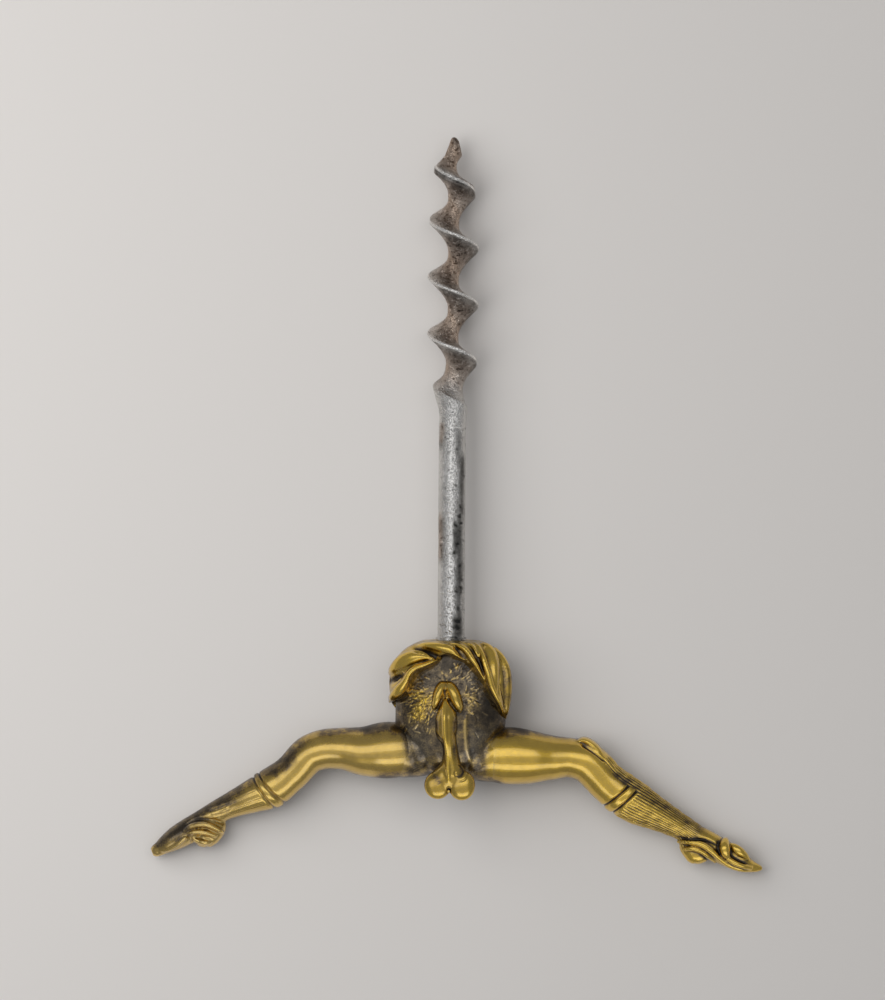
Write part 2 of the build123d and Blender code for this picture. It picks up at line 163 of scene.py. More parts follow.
CAP_BRIDGE = [(-1.0, -7.6, 5.4, 0.8, 0.7), (-0.95, -8.6, 5.9, 1.2, 1.5), (-0.9, -9.8, 5.8, 1.3, 1.5),
              (-0.9, -10.8, 5.5, 1.7, 1.2), (-0.8, -12.2, 5.2, 2.2, 1.0)]
FORK = [(0.1, -22.2, 4.9, 1.6, 1.9), (0.1, -23.6, 4.6, 2.7, 2.1), (0.0, -24.8, 4.4, 3.6, 2.2),
        (-0.1, -26.0, 4.2, 3.9, 2.2), (-0.1, -27.0, 4.1, 3.0, 1.8), (-0.1, -27.5, 4.0, 1.2, 1.0)]
# Chased hair on the belly: middle and spread of each tuft, and number of strokes
HAIR_TUFTS = [((-5.4, -11.6), (1.5, 2.2), 150), ((3.4, -9.8), (1.0, 1.7), 36), ((0.8, -5.8), (1.3, 0.8),
              24), ((0.0, -11.0), (4.0, 3.5), 40)]
# The strokes run away from this place
HAIR_CENTRE = (-0.5, -9.0)
HAIR_SEED = 5
HAIR_HEIGHTS = (0.06, -0.07)
HAIR_LENGTHS = (0.6, 1.5)
HAIR_WIDTHS = (0.1, 0.14)
HAIR_SHINE = 0.2
# Round lumps: middle and half sizes, and the turn at which their rows begin
EGG_END = 0.1
EGG_ROWS = 15
BUTTOCK = (4.3, -18.6, -3.0, 4.2, 4.2, 4.2)
LOBE_LEFT = (-2.3, -26.6, 4.1, 2.5, 2.6, 1.9)
LOBE_RIGHT = (2.15, -26.6, 4.2, 2.5, 2.8, 2.0)
LOBE_LEFT_FACE = (-2.3, -26.6, 5.0, 2.5, 2.6, 1.25)
LOBE_RIGHT_FACE = (2.15, -26.6, 5.2, 2.5, 2.8, 1.35)
# Shirt: height on the screw axis, half width, front and back
SHIRT = [(0.2, 2.9, 2.6, -2.6), (0.1, 4.4, 3.6, -3.6), (-0.2, 6.0, 4.6, -4.4), (-0.9, 7.6, 5.5, -5.0),
         (-2.2, 9.2, 6.3, -5.7), (-4.0, 10.4, 6.9, -6.1), (-6.0, 11.1, 7.2, -6.3), (-8.5, 11.3, 7.3, -6.4),
         (-11.0, 11.0, 7.2, -6.4), (-13.0, 10.4, 6.9, -6.3), (-13.6, 9.7, 6.3, -5.8),
         (-13.8, 8.6, 5.6, -5.0)]
SHIRT_OPENING = [(-16.0, -13.6), (-13.0, -12.4), (-11.3, -11.6), (-10.4, -11.05), (-9.15, -10.2),
                 (-8.1, -8.5), (-7.4, -7.0), (-6.7, -5.9), (-5.5, -5.2), (-3.8, -4.3), (-2.2, -3.2),
                 (-1.0, -2.75), (0.3, -2.85), (1.4, -3.0), (2.8, -3.6), (4.1, -4.9), (5.5, -6.5),
                 (6.6, -8.0), (7.7, -9.7), (8.8, -11.2), (9.6, -12.6), (9.9, -14.1), (10.0, -20.0)]
# Folds on the front of the shirt: x, y, rise above the cloth, half width and half depth
CROSS_FOLD = [(-6.3, -1.0, -0.6, 0.25, 0.4), (-5.2, -0.8, -0.4, 0.55, 0.8), (-3.8, -0.9, -0.2, 0.8, 1.0),
              (-2.0, -1.15, 0.0, 0.95, 1.1), (-0.4, -1.5, 0.05, 0.95, 1.1), (0.8, -2.2, 0.0, 0.6, 0.9),
              (2.0, -3.0, -0.2, 0.3, 0.5), (2.8, -3.5, -0.3, 0.15, 0.3)]
LEFT_LEAF = [(-2.6, -3.05, -0.2, 0.2, 0.4), (-4.0, -2.85, 0.0, 0.6, 0.9), (-5.4, -2.8, 0.05, 1.0, 1.1),
             (-7.2, -3.15, 0.1, 1.45, 1.3), (-8.9, -4.0, 0.05, 1.5, 1.3), (-10.3, -5.1, -0.05, 1.1, 1.0),
             (-11.1, -6.0, -0.2, 0.5, 0.6)]
LEFT_EDGE = [(-2.4, -3.3, -0.1, 0.2, 0.4), (-3.6, -3.8, 0.15, 0.4, 0.7), (-5.0, -4.4, 0.25, 0.5, 0.9),
             (-6.6, -5.0, 0.3, 0.6, 1.0), (-7.7, -6.0, 0.3, 0.65, 1.1), (-8.4, -7.5, 0.2, 0.8, 1.1),
             (-9.4, -9.0, 0.1, 1.1, 1.2), (-10.4, -10.1, 0.0, 0.9, 1.0), (-11.0, -10.9, -0.15, 0.5, 0.6),
             (-11.3, -11.4, -0.3, 0.2, 0.3)]
FOLD_A = [(0.2, -0.5, -0.4, 0.3, 0.5), (1.2, -0.75, -0.1, 0.5, 0.8), (2.2, -1.15, 0.1, 0.6, 0.9),
          (3.1, -2.0, 0.15, 0.6, 0.9), (4.0, -3.4, 0.15, 0.55, 0.9), (4.9, -4.7, 0.1, 0.45, 0.8),
          (5.6, -6.0, -0.1, 0.25, 0.5), (6.2, -7.0, -0.3, 0.15, 0.3)]
FOLD_B = [(3.0, -0.3, -0.4, 0.25, 0.4), (3.9, -0.9, 0.0, 0.45, 0.7), (4.5, -1.9, 0.05, 0.4, 0.7),
          (5.0, -3.0, 0.0, 0.25, 0.5)]
FOLD_C = [(4.4, -0.4, -0.4, 0.3, 0.5), (5.2, -1.3, 0.0, 0.5, 0.9), (5.8, -2.6, 0.2, 0.6, 1.0),
          (6.3, -4.2, 0.25, 0.65, 1.0), (6.9, -6.0, 0.25, 0.65, 1.0), (7.4, -7.8, 0.2, 0.65, 1.0),
          (8.2, -9.7, 0.1, 0.55, 0.9), (9.2, -11.6, 0.0, 0.45, 0.8), (9.8, -13.4, -0.15, 0.3, 0.6),
          (10.0, -14.4, -0.3, 0.15, 0.3)]
BROAD_FOLD = [(5.9, -0.5, -0.4, 0.5, 0.6), (6.8, -1.5, -0.1, 1.1, 1.1), (7.5, -3.4, 0.0, 1.35, 1.2),
              (7.8, -5.6, 0.0, 1.2, 1.2), (8.1, -7.6, -0.05, 0.95, 1.1), (8.7, -9.6, -0.1, 0.65, 0.9),
              (9.5, -11.6, -0.2, 0.4, 0.7)]
FOLD_D = [(8.0, -1.3, -0.6, 0.4, 0.5), (9.3, -3.0, -0.4, 0.7, 0.9), (10.1, -5.0, -0.3, 0.9, 1.1),
          (10.4, -7.5, -0.25, 0.95, 1.1), (10.4, -10.0, -0.25, 0.9, 1.1), (10.2, -12.4, -0.25, 0.7, 0.9),
          (10.0, -14.3, -0.3, 0.35, 0.5)]
SHIRT_FOLDS = (CROSS_FOLD, LEFT_LEAF, LEFT_EDGE, FOLD_A, FOLD_B, FOLD_C, BROAD_FOLD, FOLD_D)
# Shirt: points along and round it, share by which its right side hangs lower for each millimetre from the
# axis, waves of its back, and depth of its opening
SHIRT_ROWS = 160
SHIRT_SIDES = 300
SHIRT_SLANT = 0.08 / 11.0
BACK_WAVE = 0.22
BACK_WAVES = 9
OPENING_DEPTH = 2.4

# Garters and stockings: the two grooves, the band between them, the pleats over the right knee, the ribs,
# and the row of each leg at which the shoe begins
GARTER_TILT = 0.2
GROOVE_DEPTH = 0.3
GROOVE_WIDTH = 0.24
BAND_RISE = 0.14
BAND_EDGE = 0.6
PLEATS_ACROSS = (1.8, 2.3)
RIB_PAIRS = 19
RIGHT_RIBS = 0.27
LEFT_RIBS = 0.04
RIB_SINK = 0.6
SHOE_ROW = -8

# Modelling: size of the cells in which overlapping skins become one form
LEG_VOXEL = 0.142
TORSO_VOXEL = 0.15
RELIEF_VOXEL = 0.11
SHIRT_VOXEL = 0.14
# Points on a limb's middle line, and points that are compared with it at a time
LINE_STEPS = 300
BATCH = 5000
# Strokes: points in each width, reach in widths, and the shares of the length over which the ends fade
STEPS_PER_WIDTH = 3
STROKE_REACH = 2.5
STROKE_FADE = (-0.05, 0.15)
# How far a surface faces the front where strokes begin, and where they have all their effect
DRAWN_FACING = (0.0, 0.5)
PAINTED_FACING = (-0.2, 0.3)
TINY = 1e-12

# Wear and painted shade: painted shade on steep sides, weight of narrow hollows, and the state of the torso
# and the shank
PAINTED_SIDE_SHADE = 0.3
FINE_HOLLOWS = 3
TORSO_HAZE = 0.35
SHANK_WEAR = 0.8
PIT_SEED = 8
PIT_COUNT = 60
PITS_END = 39
SHANK_NOTCH = [(-0.25, 0.2, [(-0.3, 39.1), (0.8, 39.2), (2.0, 39.1)])]

# Metals: colour at each level of the wear layer, which also holds painted shade and painted highlights, and
# the height of the finest relief in metres
BRASS_GOLDEN = [(0.0, (0.030, 0.023, 0.016)), (0.26, (0.080, 0.055, 0.028)), (0.43, (0.19, 0.12, 0.032)),
                (0.56, (0.43, 0.27, 0.028)), (0.85, (0.78, 0.50, 0.035))]
BRASS_HAZY = [(0.0, (0.032, 0.030, 0.028)), (0.26, (0.082, 0.072, 0.060)), (0.43, (0.19, 0.158, 0.115)),
              (0.56, (0.38, 0.295, 0.165)), (0.85, (0.70, 0.55, 0.36))]
PIN_BRASS = [(0.3, (0.12, 0.09, 0.05)), (0.7, (0.34, 0.24, 0.08))]
STEEL_CLEAN = [(0.05, (0.04, 0.04, 0.038)), (0.3, (0.15, 0.145, 0.135)), (0.55, (0.37, 0.36, 0.345)),
               (0.95, (0.86, 0.84, 0.81))]
STEEL_RUSTED = [(0.1, (0.075, 0.048, 0.032)), (0.4, (0.26, 0.17, 0.115)), (0.9, (0.68, 0.52, 0.40))]
BUMP_HEIGHT = 0.0002

# Strokes: height, width and path in the front view
RIGHT_STROKES = [
    (-0.35, 0.28, [(24.2, -18.9), (26.4, -20.3), (28.9, -22.3)]),
    (-0.3, 0.25, [(41.6, -36.0), (43.7, -36.4), (47.4, -36.6), (49.6, -37.6)]),
    (-0.25, 0.22, [(52.0, -38.4), (52.3, -39.4), (53.2, -40.1), (55.0, -40.9)]),
    (-0.2, 0.25, [(49.7, -36.6), (49.7, -38.0), (50.2, -39.4)]),
]
LEFT_STROKES = [
    (-0.3, 0.3, [(-49.4, -34.8), (-47.4, -33.5), (-45.0, -33.3), (-41.6, -34.2)]),
    (-0.35, 0.35, [(-48.9, -36.2), (-47.9, -37.0), (-47.6, -38.0)]),
    (0.16, 0.16, [(-44.9, -31.6), (-43.0, -31.0), (-41.4, -30.3)]),
    (0.16, 0.16, [(-44.4, -32.3), (-42.6, -31.7), (-40.9, -31.0)]),
    (0.16, 0.16, [(-43.9, -33.0), (-42.2, -32.5), (-40.6, -31.8)]),
]
TORSO_STROKES = [
    (-0.3, 0.9, [(-9.6, -16.0), (-8.4, -18.0), (-7.6, -20.4), (-6.8, -22.6), (-6.0, -24.2)]),
    (-0.3, 0.9, [(10.4, -16.0), (8.4, -17.8), (6.6, -20.0), (5.6, -22.4), (4.8, -24.2)]),
    (0.15, 0.4, [(2.9, -13.0), (2.7, -16.0), (2.8, -18.0), (3.2, -20.6), (4.1, -23.0)]),
]
RELIEF_STROKES = [
    (0.32, 0.36, [(-1.2, -11.2), (-1.15, -13.9), (-1.0, -17.6), (-0.6, -20.5), (-0.4, -23.9),
                  (-0.25, -26.3)]),
    (-0.3, 0.2, [(-1.1, -8.8), (-1.05, -9.6), (-1.0, -10.6)]),
    (-0.12, 0.2, [(-3.6, -12.9), (-2.6, -12.4), (-1.9, -11.2), (-1.5, -10.2)]),
    (-0.12, 0.2, [(2.4, -13.3), (1.2, -12.8), (0.1, -11.8), (-0.6, -10.4)]),
    (-0.55, 0.26, [(-0.25, -27.1), (-0.2, -28.0), (-0.2, -29.6)]),
    (-0.12, 0.18, [(0.9, -22.6), (1.9, -23.0), (2.4, -24.0), (1.9, -24.9), (1.0, -24.8), (0.9, -24.1),
                   (1.4, -23.8)]),
    (-0.09, 0.18, [(1.4, -22.2), (2.6, -22.9), (3.2, -24.2), (2.7, -25.5), (1.4, -25.9)]),
    (-0.2, 0.2, [(-2.9, -17.0), (-2.0, -17.9), (-1.2, -18.6)]),
    (-0.1, 0.4, [(0.9, -14.5), (0.7, -17.5), (0.6, -20.5), (1.0, -22.4)]),
]
SHIRT_STROKES = [
    (-0.7, 0.4, [(-12.2, -7.6), (-10.4, -6.9), (-8.7, -6.0)]),
    (-0.3, 0.4, [(-12.2, -8.2), (-10.8, -7.5), (-9.8, -7.0)]),
    (-0.2, 0.2, [(-2.2, -3.0), (-4.3, -3.7), (-6.3, -4.3), (-7.2, -4.9)]),
    (-0.9, 0.45, [(-7.4, -1.2), (-4.8, -2.0), (-3.0, -2.6), (-1.4, -3.0), (0.2, -3.4)]),
    (-0.4, 0.3, [(0.6, -0.9), (1.3, -2.0), (2.2, -2.9), (3.2, -3.7)]),
    (-0.18, 0.25, [(3.6, -1.0), (4.7, -2.8), (5.4, -4.2), (6.0, -5.8)]),
    (-0.25, 0.2, [(8.4, -2.2), (8.9, -3.6), (9.1, -5.4), (9.0, -7.5), (8.8, -9.4)]),
    (-0.12, 0.18, [(4.9, -0.8), (5.3, -1.9), (5.5, -2.8)]),
]
RIGHT_GARTERS = [(31.7, -27.9), (33.1, -29.2)]
LEFT_GARTERS = [(-33.8, -27.3), (-35.1, -28.3)]

# Shades: change of the wear layer, width and path in the front view; the relief's shades and some of the
# shank's are painted shade and painted highlights
RIGHT_SHADES = [
    (-0.45, 1.3, [(30.0, -23.8), (36.0, -28.0), (42.0, -31.8), (48.0, -36.0)]),
    (-0.3, 0.5, [(29.4, -23.4), (31.4, -25.0), (33.0, -26.4)]),
    (0.2, 0.5, [(35.0, -29.6), (40.0, -32.8), (45.0, -35.9)]),
    (-0.3, 0.5, [(34.0, -33.0), (38.0, -34.0), (42.0, -35.6)]),
    (-0.45, 0.5, [(42.0, -36.0), (45.4, -36.2), (49.4, -37.3)]),
    (-0.4, 0.4, [(49.5, -36.4), (49.5, -38.0), (49.9, -39.2)]),
    (-0.35, 0.3, [(52.0, -38.6), (52.4, -39.6), (53.4, -40.2), (55.2, -40.9)]),
    (-0.35, 0.3, [(46.0, -39.2), (48.0, -40.4), (49.4, -41.2)]),
    (0.2, 0.5, [(55.0, -41.6), (57.0, -42.0), (57.9, -41.9)]),
    (-0.6, 1.6, [(5.6, -15.0), (5.2, -18.0), (4.8, -21.0), (4.4, -25.0)]),
    (-0.45, 1.3, [(4.0, -18.0), (8.0, -17.0), (11.0, -16.5), (15.0, -16.4)]),
    (-0.25, 0.6, [(12.0, -16.3), (18.0, -17.4), (23.0, -18.0)]),
    (-0.35, 1.0, [(4.4, -24.6), (7.0, -25.6), (10.0, -26.4)]),
]
LEFT_SHADES = [
    (-0.4, 1.1, [(-25.0, -17.2), (-28.0, -19.4), (-31.4, -22.6), (-36.0, -25.6), (-42.0, -29.2),
                 (-48.0, -32.8)]),
    (-0.22, 1.0, [(-28.5, -21.5), (-31.0, -24.0), (-33.0, -25.5)]),
    (-0.25, 1.1, [(-38.0, -28.9), (-41.0, -30.3), (-44.0, -32.1), (-49.0, -34.9), (-52.5, -37.2)]),
    (-0.22, 1.5, [(-48.0, -34.6), (-50.5, -36.2), (-53.0, -37.8), (-55.0, -39.0)]),
    (-0.25, 0.9, [(-46.0, -31.7), (-50.0, -34.2), (-53.0, -36.6), (-55.2, -38.6)]),
    (0.3, 0.35, [(-45.2, -32.6), (-43.0, -31.8), (-40.9, -31.0)]),
    (-0.6, 1.7, [(-7.0, -15.0), (-6.8, -18.0), (-6.6, -21.0), (-6.0, -25.0)]),
    (-0.45, 1.4, [(-6.0, -16.8), (-9.0, -16.4), (-12.0, -16.0), (-17.0, -16.4)]),
    (-0.3, 0.8, [(-14.0, -16.0), (-20.0, -16.8), (-25.0, -17.6)]),
    (-0.35, 1.0, [(-6.0, -24.4), (-10.0, -25.0), (-14.0, -25.2)]),
]
TORSO_SHADES = [
    (0.24, 1.8, [(-5.4, -8.6), (-5.0, -11.8), (-6.6, -14.8)]),
    (0.2, 0.8, [(2.4, -9.5), (3.6, -11.0), (3.2, -13.0)]),
    (0.25, 0.4, [(2.9, -14.0), (2.7, -16.0), (2.8, -18.0), (3.2, -20.6), (4.1, -23.0)]),
    (-0.12, 2.0, [(6.0, -9.0), (7.5, -12.0), (6.5, -16.0)]),
    (-0.12, 1.5, [(-2.0, -4.0), (0.0, -4.2), (3.0, -5.5)]),
    (0.42, 1.6, [(8.6, -17.6), (8.4, -21.0), (8.0, -25.4)]),
    (0.36, 1.6, [(-9.6, -17.2), (-9.4, -20.4), (-9.2, -24.6)]),
]
GROIN_HAZE = [
    (0.5, 2.0, [(-8.0, -16.0), (-6.0, -18.5), (-4.5, -22.0)]),
    (0.5, 1.6, [(6.0, -16.0), (4.6, -18.5), (3.6, -22.0)]),
    (-0.5, 1.6, [(8.6, -17.6), (8.4, -21.0), (8.0, -25.4)]),
    (0.4, 1.5, [(3.0, -5.5), (6.0, -9.0), (8.0, -12.0)]),
    (-0.5, 1.8, [(-6.0, -9.0), (-5.2, -12.0), (-7.0, -14.6)]),
]
RELIEF_PAINTED_LIGHT = [
    # Painted shade beside the shaft, round the curl and on the top of the left lobe, and painted highlights
    # on the shaft's ridge and the lower rims of the lobes.
    (-0.28, 0.6, [(0.9, -13.4), (0.9, -17.0), (0.9, -20.0), (1.4, -22.4)]),
    (-0.25, 0.5, [(2.0, -22.6), (2.2, -24.6), (1.2, -25.0)]),
    (-0.25, 0.5, [(-2.5, -14.0), (-2.5, -17.0), (-1.6, -19.0), (-1.6, -21.5)]),
    (0.2, 0.3, [(-1.2, -11.2), (-1.1, -14.5), (-1.0, -17.6), (-0.6, -20.5), (-0.45, -24.0), (-0.3, -26.0)]),
    (-0.2, 0.8, [(-3.6, -24.6), (-2.6, -25.4), (-2.0, -26.6)]),
    (0.15, 0.5, [(-4.0, -28.0), (-2.4, -28.8), (-1.0, -28.2)]),
    (0.2, 0.6, [(0.8, -28.4), (2.4, -29.0), (4.0, -28.0)]),
]
SHIRT_SHADES = [
    (-0.35, 0.7, [(-10.9, -11.0), (-10.4, -12.2)]),
    (-0.3, 1.3, [(10.4, -4.0), (10.9, -9.0), (10.4, -13.0)]),
    (-0.5, 0.45, [(-7.0, -1.2), (-4.6, -2.1), (-2.6, -2.7), (0.0, -3.3)]),
    (-0.4, 0.5, [(-12.0, -7.7), (-10.4, -7.0), (-9.0, -6.2)]),
    (0.2, 1.0, [(-5.0, -3.2), (-7.2, -3.4), (-9.4, -4.6)]),
    (-0.3, 0.35, [(0.9, -1.2), (1.8, -2.3), (3.0, -3.4)]),
    (-0.3, 0.3, [(3.6, -1.2), (4.8, -3.0), (5.6, -4.8), (6.4, -6.6)]),
]
# On the steel: patches and pits of the shank, with painted shade down its right side and a painted highlight
# down its middle, and its rust
SHANK_STAINS_AND_PAINTED_LIGHT = [
    (-0.3, 0.6, [(-2.3, 14.0), (-1.7, 18.0), (-1.9, 23.0)]),
    (-0.2, 0.5, [(-2.2, 35.0), (-1.9, 38.0), (-2.0, 40.5)]),
    # Painted shade down the right side, with dark patches in it, here and in the strips further down.
    (-0.5, 0.75, [(1.5, -2.0), (1.4, 6.0), (1.5, 13.0), (1.3, 19.0), (1.5, 26.0)]),
    (-0.3, 0.5, [(0.6, -1.0), (0.7, 2.5), (0.4, 5.0)]),
    (-0.3, 0.4, [(0.3, 15.0), (0.5, 19.0), (0.4, 23.0)]),
    (-0.45, 0.45, [(2.0, 23.0), (1.8, 29.0), (2.1, 35.0)]),
    (-0.2, 0.6, [(1.3, 32.0), (1.2, 36.0), (1.3, 39.0)]),
    # Painted highlight down the middle.
    (0.22, 0.4, [(-0.2, -1.0), (-0.1, 20.0), (-0.3, 41.0)]),
    (0.5, 0.14, [(-0.1, 39.4), (0.8, 39.5), (1.8, 39.4)]),
]
SHANK_RUST = [
    (0.6, 0.5, [(-2.3, 14.5), (-2.1, 19.0), (-2.3, 24.0)]),
    (0.5, 0.5, [(-2.2, 36.5), (-1.9, 38.5), (-2.0, 40.5)]),
]


def through(rows, count):
    """Points at even steps on a smooth curve through the rows."""
    rows = np.array(rows, float)
    step = np.linalg.norm(np.diff(rows[:, :3], axis=0), axis=1)
    place = np.concatenate([[0], np.cumsum(step)])
    slope = np.gradient(rows, place, axis=0)
    at = np.linspace(0, place[-1], count)
    span = np.clip(np.searchsorted(place, at, side="right") - 1, 0, len(rows) - 2)
    size = (place[span + 1] - place[span])[:, None]
    t = (at - place[span])[:, None] / size
    bend = slope[span] * t * (1 - t) ** 2 - slope[span + 1] * t * t * (1 - t)
    return rows[span] * (1 + 2 * t) * (1 - t) ** 2 + rows[span + 1] * t * t * (3 - 2 * t) + size * bend


def ramp(value, low, high):
    """0 below the low value and 1 above the high one, with a smooth change between them."""
    t = np.clip((value - low) / (high - low), 0, 1)
    return t * t * (3 - 2 * t)


def link(piece):
    bpy.context.scene.collection.objects.link(piece)
    return piece


def points_of(mesh):
    points = np.zeros(3 * len(mesh.vertices))
    mesh.vertices.foreach_get("co", points)
    return points.reshape(-1, 3)


def move(mesh, points):
    mesh.vertices.foreach_set("co", points.ravel())
    mesh.update()


def mesh_of(name, shape):
    """Mesh of a bmesh that is no longer needed."""
    mesh = bpy.data.meshes.new(name)
    shape.to_mesh(mesh)
    shape.free()
    return mesh


def with_ends(rows, first, last):
    """The rows with one more before them and one after them."""
    shape = rows[:1].shape
    return np.concatenate([np.broadcast_to(first, shape), rows, np.broadcast_to(last, shape)])


def skin(rings):
    """Closed skin through rings of points, and the ring of each point and its place in that ring.

    The skin starts as a ball, and its poles go to the middles of the first and the last ring.
    """
    count, sides = rings.shape[:2]
    ball = bmesh.new()
    bmesh.ops.create_uvsphere(ball, u_segments=sides, v_segments=count + 1, radius=1.0)
    mesh = mesh_of("skin", ball)
    x, y, z = points_of(mesh).T
    ring = np.rint((count + 1) / np.pi * np.arctan2(np.hypot(x, y), -z)).astype(int)
    side = np.rint(sides / (2 * np.pi) * np.arctan2(-x, y)).astype(int) % sides
    move(mesh, with_ends(rings, rings[0].mean(0), rings[-1].mean(0))[ring, side])
    return mesh, (ring, side)


def across_line(along):
    """Directions square to a line's own, in the plane of the table."""
    across = np.cross(UP, along)
    return across / np.linalg.norm(across, axis=1)[:, None]


def limb(rows, count=120, sides=48):
    """Skin of ovals square to a smooth line."""
    rows = through(rows, count)
    along = np.gradient(rows[:, :3], axis=0)
    along /= np.linalg.norm(along, axis=1)[:, None]
    across = across_line(along)
    depth = np.cross(along, across)
    turn = np.linspace(0, 2 * np.pi, sides, endpoint=False)[None, :, None]
    rings = rows[:, None, :3] + across[:, None] * rows[:, None, 3:4] * np.cos(turn)
    mesh, _ = skin(rings + depth[:, None] * rows[:, None, 4:5] * np.sin(turn))
    return mesh


def mirrored(rows):
    return [(-row[0], *row[1:]) for row in rows]


def egg(x, y, z, half_x, half_y, half_z):
    """Rows of a round lump, from just inside one end to just inside the other."""
    turns = np.linspace(EGG_END, np.pi - EGG_END, EGG_ROWS)
    return [(x, y + half_y * math.cos(t), z, half_x * math.sin(t), half_z * math.sin(t)) for t in turns]


def clay(skins, voxel):
    """One closed form round several overlapping skins."""
    lump = bmesh.new()
    for mesh in skins:
        lump.from_mesh(mesh)
        bpy.data.meshes.remove(mesh)
    piece = link(bpy.data.objects.new("clay", mesh_of("clay", lump)))
    modifier = piece.modifiers.new("remesh", "REMESH")
    modifier.mode = "VOXEL"
    modifier.voxel_size = voxel
    modifier.adaptivity = 0
    evaluated = piece.evaluated_get(bpy.context.evaluated_depsgraph_get())
    form = Form(bpy.data.meshes.new_from_object(evaluated))
    bpy.data.meshes.remove(piece.data)
    return form


class Form:
    """A closed skin that is shaped by strokes before it becomes a piece."""

    def __init__(self, mesh):
        self.mesh = mesh
        self.points = points_of(mesh)
        faces = [tuple(face.vertices) for face in mesh.polygons]
        self.faces = np.array([face if len(face) == 4 else face + face[-1:] for face in faces])
        pairs = np.stack([self.faces, np.roll(self.faces, -1, 1)], 2).reshape(-1, 2)
        pairs = pairs[pairs[:, 0] != pairs[:, 1]]
        self.start, self.end = np.unique(np.concatenate([pairs, pairs[:, ::-1]]), axis=0).T
        self.wear_and_painted_light = np.zeros(len(self.points))
        self.grain = np.zeros(len(self.points))
        self.haze = np.zeros(len(self.points))

    def gather(self, places, values):
        """Sum of the values that belong to each point."""
        columns = [np.bincount(places, column, len(self.points)) for column in values.T]
        return np.stack(columns, 1)

    def smooth(self, times):
        """Points moved towards the mean of their neighbours."""
        count = np.bincount(self.start, minlength=len(self.points))[:, None]
        points = self.points
        for _ in range(times):
            points = (points + self.gather(self.start, points[self.end]) / count) / 2
        return points

    def normals(self):
        a, b, c, d = (self.points[self.faces[:, index]] for index in range(4))
        face = np.cross(c - a, d - b)
        total = self.gather(self.faces.T.ravel(), np.tile(face, (4, 1)))
        return total / np.maximum(np.linalg.norm(total, axis=1), TINY)[:, None]

    def weight(self, path, width):
        """1 on a path drawn on the front and falling to 0 away from it and towards its ends."""
        path = [(x, y, 0.0) for x, y in path]
        length = sum(math.dist(a, b) for a, b in zip(path, path[1:]))
        line = through(path, max(int(length / width * STEPS_PER_WIDTH), 4))[:, :2]
        flat = self.points[:, :2]
        margin = STROKE_REACH * width
        near = ((flat > line.min(0) - margin) & (flat < line.max(0) + margin)).all(1)
        index = np.flatnonzero(near)
        gap = np.linalg.norm(flat[index, None] - line[None], axis=2)
        place = gap.argmin(1) / (len(line) - 1)
        fade = ramp(np.minimum(place, 1 - place), *STROKE_FADE)
        result = np.zeros(len(flat))
        result[index] = np.exp(-(gap.min(1) / width) ** 2) * fade
        return result

    def draw(self, strokes):
        """Raises or cuts the front along paths."""
        normals = self.normals()
        lift = sum(height * self.weight(path, width) for height, width, path in strokes)
        self.points = self.points + normals * (lift * ramp(normals[:, 2], *DRAWN_FACING))[:, None]

    def paint(self, layer, strokes):
        """Adds to a layer along paths on the front."""
        front = ramp(self.normals()[:, 2], *PAINTED_FACING)
        for amount, width, path in strokes:
            layer += amount * self.weight(path, width) * front

    def cavity(self, times):
        """Depth below the surface's own average, positive in hollows."""
        gap = self.smooth(times) - self.points
        return (gap * self.normals()).sum(1)

    def rub(self, base, depth, fine, broad):
        """Wear from the relief, with painted shade: hollows keep a dark patina, steep sides are painted
        darker as shade, and high places are rubbed bright.
        """
        # Painted shade: the further a side turns from the front, the darker it is painted.
        sides = PAINTED_SIDE_SHADE * (1 - ramp(self.normals()[:, 2], *DRAWN_FACING))
        self.wear_and_painted_light = base - sides - depth * (self.cavity(fine) * FINE_HOLLOWS + self.cavity(broad))

    def piece(self, name, slot, material):
        """The finished piece in metres, in place of the node of that name."""
        self.mesh.name = name + "_look"
        move(self.mesh, self.points * MM)
        # The wear layer also holds painted shade and painted highlights.
        for layer, values in (("wear_and_painted_light", self.wear_and_painted_light), ("grain", self.grain), ("haze", self.haze)):
            attribute = self.mesh.attributes.new(layer, "FLOAT", "POINT")
            attribute.data.foreach_set("value", np.clip(values, 0, 1))
        self.mesh.shade_smooth()
        self.mesh.materials.append(material)
        piece = link(bpy.data.objects.new(name + "_look", self.mesh))
        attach(piece, "root")
        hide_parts(name)


def limb_place(points, rows):
    """Distance along a limb's middle line, and offsets across it and in depth, for each point."""
    line = through(rows, LINE_STEPS)[:, :3]
    along = np.gradient(line, axis=0)
    step = np.linalg.norm(along, axis=1)
    along /= step[:, None]
    across = across_line(along)
    across *= np.sign(across[:, 1:2])
    nearest = np.zeros(len(points), int)
    for start in range(0, len(points), BATCH):
        part = points[start:start + BATCH]
        nearest[start:start + BATCH] = ((part[:, None] - line[None]) ** 2).sum(2).argmin(1)
    offset = points - line[nearest]
    ahead = (offset * along[nearest]).sum(1)
    return np.cumsum(step)[nearest] + ahead, (offset * across[nearest]).sum(1), offset[:, 2]


def on_limbs(rows, limbs):
    """Rows of a strap, carried by the front of limbs."""
    lines = [through(line, LINE_STEPS) for line in limbs]
    result = []
    for x, y, rise, half_width, half_depth in rows:
        heights = []
        for line in lines:
            gap = np.hypot(line[:, 0] - x, line[:, 1] - y)
            near = line[gap.argmin()]
            heights.append(near[2] + near[4] * math.sqrt(max(1 - (gap.min() / near[3]) ** 2, 0)))
        result.append((x, y, max(heights) + rise, half_width, half_depth))
    return result


